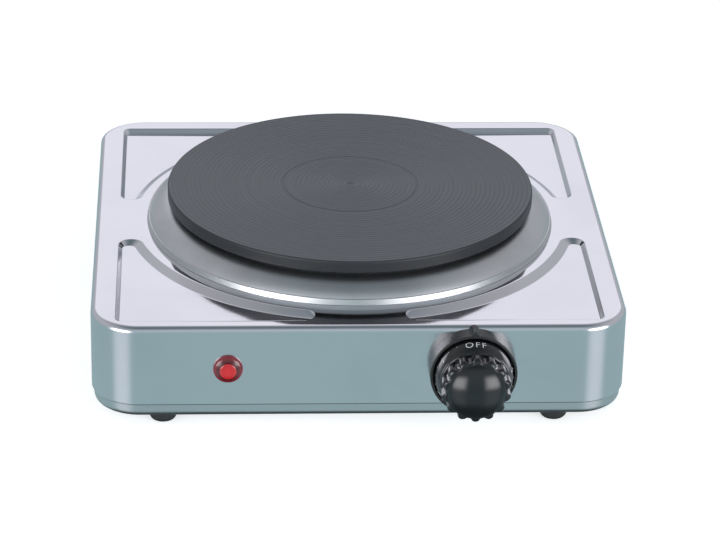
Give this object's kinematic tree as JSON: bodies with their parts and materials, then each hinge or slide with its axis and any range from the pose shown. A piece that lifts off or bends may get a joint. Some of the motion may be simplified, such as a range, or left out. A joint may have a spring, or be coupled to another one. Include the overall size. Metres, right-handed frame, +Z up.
{
  "type": "hot plate burner",
  "caption": "Table-top electric hot plate: square polished steel housing with a round cast iron plate in a raised spill ring, front knob and pilot lamp, rubber feet.",
  "frame": {"origin": "on the table under the middle of the object's box, which runs from the knob's face to the cord gland", "axes": "+Z up, -Y is the front with the knob and lamp, +X to the right seen from the front"},
  "size_m": [0.262, 0.2944, 0.0734],
  "materials": {
    "polished_steel": "mirror-polished stainless sheet",
    "ring_steel": "polished stainless with a faint spun grain",
    "base_steel": "satin plated sheet steel",
    "cast_iron": "machined grooves, baked-on black coating",
    "knob_plastic": "high-gloss moulded black with white print",
    "collar_plastic": "semi-gloss moulded black",
    "lamp_red": "clear red moulding",
    "gland_rubber": "moulded matt",
    "foot_rubber": "moulded matt",
    "plated_fixing": "zinc plated",
    "plated_sheet": "zinc plated sheet",
    "coil_metal": "heat-tinted sheath",
    "ceramic": "unglazed steatite",
    "brass": "bright",
    "white_plastic": "moulded satin",
    "bulb_glass": "clear, slightly amber",
    "lead_red": "silicone sleeve",
    "lead_blue": "silicone sleeve",
    "lead_green": "silicone sleeve"
  },
  "bodies": {
    "housing": {"base_pan": "base_steel", "bridge_nut": "plated_fixing", "centre_stud": "plated_fixing", "cord_clamp": "white_plastic", "cord_clamp_screw_left": "plated_fixing", "cord_clamp_screw_right": "plated_fixing", "cord_gland": "gland_rubber", "earth_screw": "plated_fixing", "earth_tag": "brass", "element_cover": "plated_sheet", "element_fill": "ceramic", "foot_back_left": "foot_rubber", "foot_back_right": "foot_rubber", "foot_front_left": "foot_rubber", "foot_front_right": "foot_rubber", "foot_screw_back_left": "plated_fixing", "foot_screw_back_right": "plated_fixing", "foot_screw_front_left": "plated_fixing", "foot_screw_front_right": "plated_fixing", "gland_nut": "plated_fixing", "heat_shield": "plated_sheet", "heating_coil": "coil_metal", "hot_plate": "cast_iron", "knob_collar": "collar_plastic", "lamp_bulb": "bulb_glass", "lamp_clip": "plated_sheet", "lamp_lens": "lamp_red", "lamp_tube": "white_plastic", "lead_earth": "lead_green", "lead_lamp_live": "lead_red", "lead_lamp_neutral": "lead_blue", "lead_live_supply": "lead_red", "lead_live_switched": "lead_red", "lead_neutral": "lead_blue", "mains_block_screw": "plated_fixing", "mains_terminal_block": "white_plastic", "mounting_bridge": "plated_sheet", "plate_tab_live": "brass", "plate_tab_neutral": "brass", "plate_terminal_block": "ceramic", "shell_bracket_back_left": "plated_sheet", "shell_bracket_back_right": "plated_sheet", "shell_bracket_front_left": "plated_sheet", "shell_bracket_front_right": "plated_sheet", "shield_nut": "plated_fixing", "spill_ring": "ring_steel", "thermostat_blade": "brass", "thermostat_body": "ceramic", "thermostat_frame": "plated_sheet", "thermostat_screw_left": "plated_fixing", "thermostat_screw_right": "plated_fixing", "thermostat_tab_in": "brass", "thermostat_tab_out": "brass", "top_shell": "polished_steel"},
    "knob_unit": {"knob": "knob_plastic", "knob_clip": "plated_sheet", "thermostat_spindle": "plated_fixing"}
  },
  "joints": [
    {"name": "knob_turn", "type": "hinge", "parent": "housing", "child": "knob_unit", "pos_m": [0.0541, -0.11575, 0.0325], "axis": [0, 1, 0], "range_deg": [0, 285]}
  ]
}
